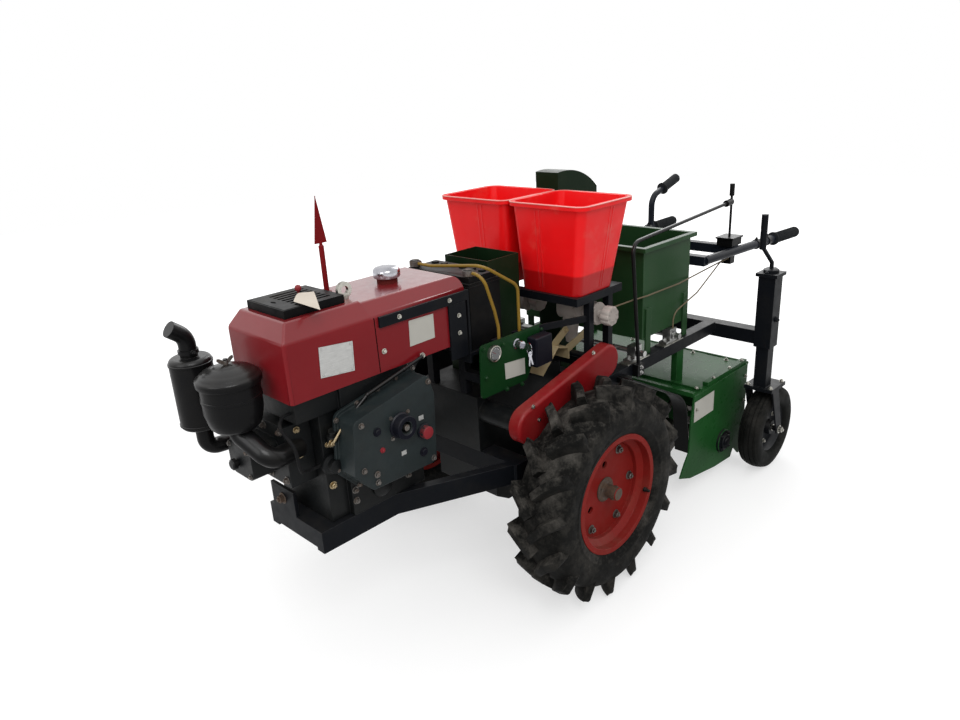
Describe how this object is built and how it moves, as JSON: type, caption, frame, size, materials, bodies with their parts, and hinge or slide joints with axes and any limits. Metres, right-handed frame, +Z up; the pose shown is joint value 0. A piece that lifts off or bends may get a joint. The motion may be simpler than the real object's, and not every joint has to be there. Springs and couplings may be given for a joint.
{
  "type": "potato planter",
  "caption": "Walk-behind potato planter: diesel on a two-wheel chassis, fertilizer and seed hoppers, tiller, height-adjusted tail wheels and handlebars",
  "frame": {"origin": "centre of the bounding box on the ground plane", "axes": "+X runs forward along the machine, +Y to the driver's left, +Z up"},
  "size_m": [2.4542, 1.024, 1.206],
  "materials": {
    "green_paint": "gloss",
    "dark_green": "satin",
    "blue_grey": "satin",
    "frame_black": "satin",
    "rim_red": "satin",
    "engine_green": "satin",
    "cast_casing": "satin",
    "hopper_orange": "gloss",
    "meter_white": "satin",
    "battery_black": "matte",
    "grip_rubber": "matte",
    "belt_rubber": "matte",
    "tyre": "matte",
    "bright_steel": "satin",
    "zinc_yellow": "satin",
    "marker_red": "satin",
    "cap_chrome": "polished",
    "hood_red": "gloss",
    "black_plastic": "satin",
    "lead_yellow": "satin",
    "cable_tan": "matte"
  },
  "bodies": {
    "chassis": {"engine_frame": "frame_black", "gearbox": "cast_casing", "engine_block": "cast_casing", "gear_cover": "engine_green", "cylinder_head": "cast_casing", "radiator_hood": "hood_red", "radiator_grille": "black_plastic", "fuel_tank": "hood_red", "fuel_cap": "cap_chrome", "level_marker": "marker_red", "lifting_eye": "bright_steel", "tank_bracket": "frame_black", "air_filter": "frame_black", "muffler": "frame_black", "flywheel": "engine_green", "clutch_pulley": "engine_green", "drive_belts": "belt_rubber", "chain_case": "rim_red", "control_panel": "green_paint", "battery": "battery_black", "tool_box": "dark_green", "hopper_stand": "frame_black", "fertilizer_hopper_left": "hopper_orange", "fertilizer_hopper_right": "hopper_orange", "fertilizer_meters": "meter_white", "seed_hopper": "dark_green", "seed_elevator": "dark_green", "furrow_opener": "frame_black", "rear_frame": "frame_black", "seed_shafts": "bright_steel", "tiller_deck": "green_paint", "tiller_side_left": "green_paint", "tiller_side_right": "green_paint", "mud_guards": "frame_black", "handlebars": "blue_grey", "grips": "grip_rubber", "levers": "bright_steel", "link_bar": "zinc_yellow", "battery_leads": "lead_yellow", "control_cables": "cable_tan", "fuel_hose": "belt_rubber"},
    "left_wheel": {"tyre_left": "tyre", "rim_left": "rim_red"},
    "right_wheel": {"tyre_right": "tyre", "rim_right": "rim_red"},
    "rotor": {"tiller_rotor": "rim_red"},
    "left_leg": {"tail_leg_left": "frame_black"},
    "right_leg": {"tail_leg_right": "frame_black"},
    "left_tail_wheel": {"tail_wheel_left": "tyre"},
    "right_tail_wheel": {"tail_wheel_right": "tyre"},
    "rear_board": {"rear_board": "green_paint"}
  },
  "joints": [
    {"name": "left_wheel_spin", "type": "hinge", "parent": "chassis", "child": "left_wheel", "pos_m": [0.29415, 0.395, 0.32], "axis": [0, 1, 0], "continuous": true},
    {"name": "right_wheel_spin", "type": "hinge", "parent": "chassis", "child": "right_wheel", "pos_m": [0.29415, -0.395, 0.32], "axis": [0, 1, 0], "continuous": true},
    {"name": "rotor_spin", "type": "hinge", "parent": "chassis", "child": "rotor", "pos_m": [-0.53385, 0, 0.131], "axis": [0, 1, 0], "continuous": true},
    {"name": "left_leg_slide", "type": "slide", "parent": "chassis", "child": "left_leg", "axis": [0, 0, 1], "range_m": [-0.12, 0.05]},
    {"name": "right_leg_slide", "type": "slide", "parent": "chassis", "child": "right_leg", "axis": [0, 0, 1], "range_m": [-0.12, 0.05]},
    {"name": "left_tail_wheel_spin", "type": "hinge", "parent": "left_leg", "child": "left_tail_wheel", "pos_m": [-0.69085, 0.452, 0.16], "axis": [0, 1, 0], "continuous": true},
    {"name": "right_tail_wheel_spin", "type": "hinge", "parent": "right_leg", "child": "right_tail_wheel", "pos_m": [-0.69085, -0.452, 0.16], "axis": [0, 1, 0], "continuous": true},
    {"name": "rear_board_hinge", "type": "hinge", "parent": "chassis", "child": "rear_board", "pos_m": [-0.71785, 0, 0.382], "axis": [0, 1, 0], "range_deg": [0, 70]}
  ]
}
